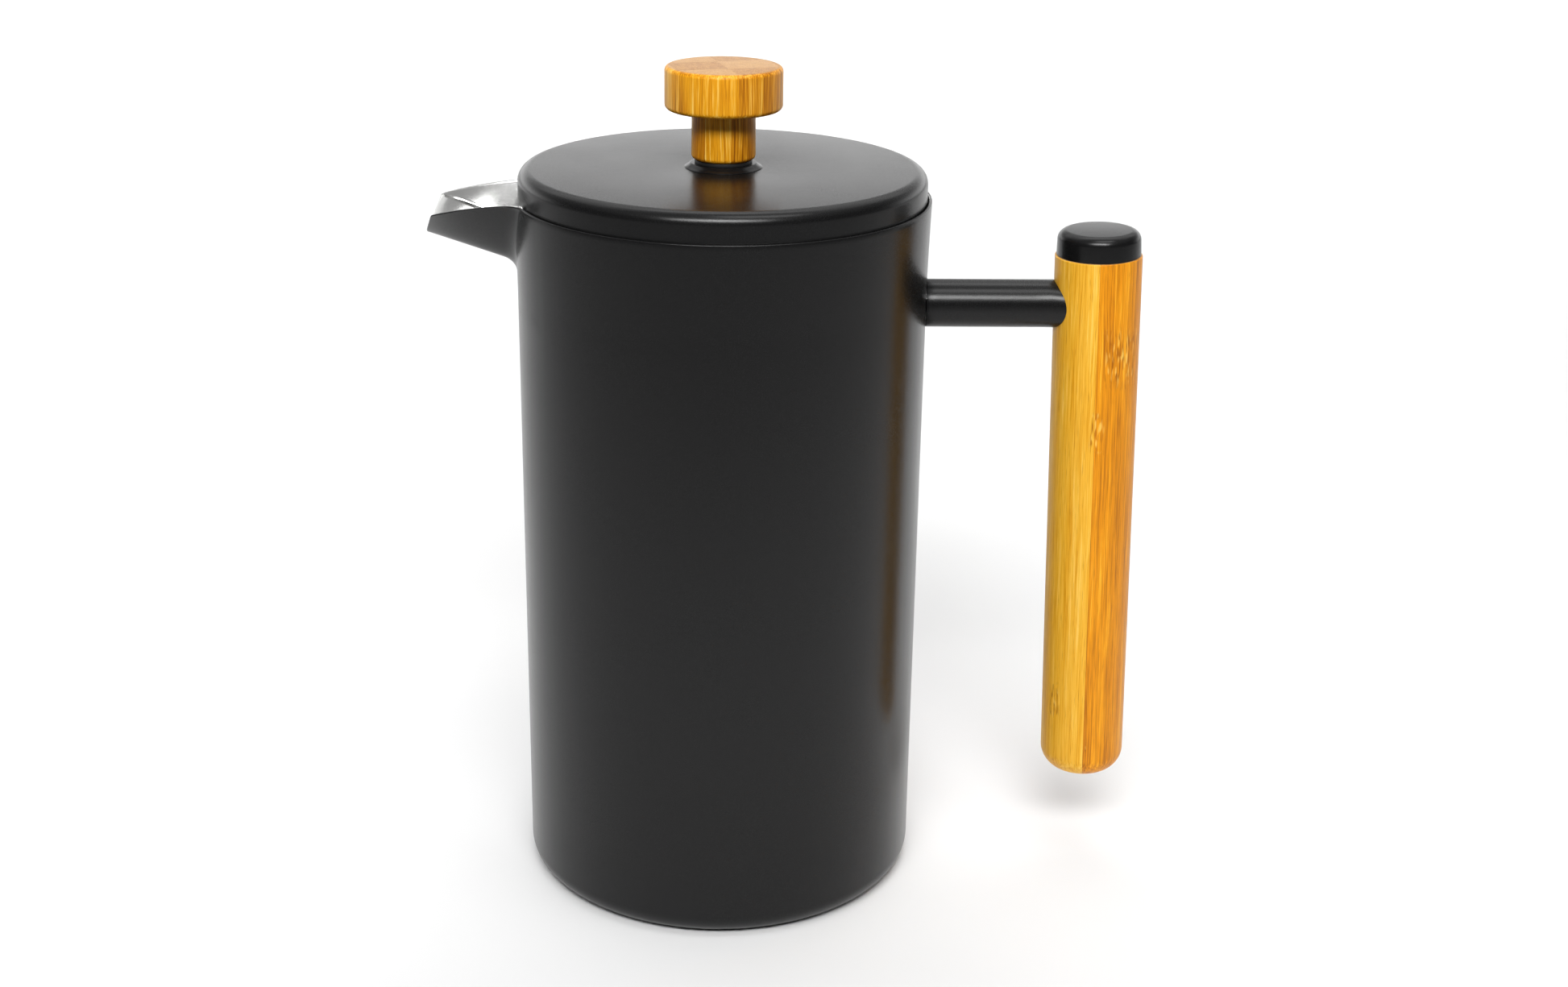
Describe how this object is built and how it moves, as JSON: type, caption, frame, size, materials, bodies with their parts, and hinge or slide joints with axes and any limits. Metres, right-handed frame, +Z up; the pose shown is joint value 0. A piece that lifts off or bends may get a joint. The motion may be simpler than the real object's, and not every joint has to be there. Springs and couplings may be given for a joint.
{
  "type": "french press",
  "caption": "Double-wall steel press pot for brewing coffee, with a spout, a side post and upright grip, a lid and a plunger with a disc filter.",
  "frame": {"origin": "centre of the flat base, on the surface that the pot stands on", "axes": "+Z up along the pot's axis, +X towards the handle, the spout towards -X"},
  "size_m": [0.1931, 0.1092, 0.2245],
  "materials": {
    "black_coat": "satin black powder coat over steel",
    "steel": "brushed stainless steel",
    "spring_steel": "drawn spring wire",
    "steel_mesh": "fine woven wire",
    "brass": "turned brass",
    "bamboo": "laminated bamboo under satin lacquer",
    "black_plastic": "moulded black nylon"
  },
  "bodies": {
    "pot": {"outer_shell": "black_coat", "base_plate": "black_coat", "inner_vessel": "steel", "spout": "black_coat", "spout_liner": "steel", "weld_stud": "steel", "handle_post": "black_coat", "grip_insert": "brass", "handle_grip": "bamboo", "grip_cap": "black_coat"},
    "guide": {"rod_bushing": "black_plastic", "bushing_nut": "steel"},
    "lid": {"lid_cap": "black_coat", "lid_liner": "steel"},
    "knob_collar": {"knob_washer": "black_plastic"},
    "plunger": {"knob": "bamboo", "knob_insert": "brass", "plunger_rod": "steel", "rod_collar": "steel", "spring_plate": "steel", "edge_spring": "spring_steel", "mesh_screen": "steel_mesh", "cross_plate": "steel", "hub_nut": "steel"}
  },
  "joints": [
    {"name": "lid_lift", "type": "slide", "parent": "pot", "child": "guide", "axis": [0, 0, 1], "range_m": [0, 0.19]},
    {"name": "lid_turn", "type": "hinge", "parent": "guide", "child": "lid", "pos_m": [0, 0, 0.19], "axis": [0, 0, 1], "continuous": true},
    {"name": "plunger_slide", "type": "slide", "parent": "guide", "child": "knob_collar", "axis": [0, 0, 1], "range_m": [0, 0.145]},
    {"name": "plunger_turn", "type": "hinge", "parent": "knob_collar", "child": "plunger", "pos_m": [0, 0, 0.19], "axis": [0, 0, 1], "continuous": true}
  ]
}
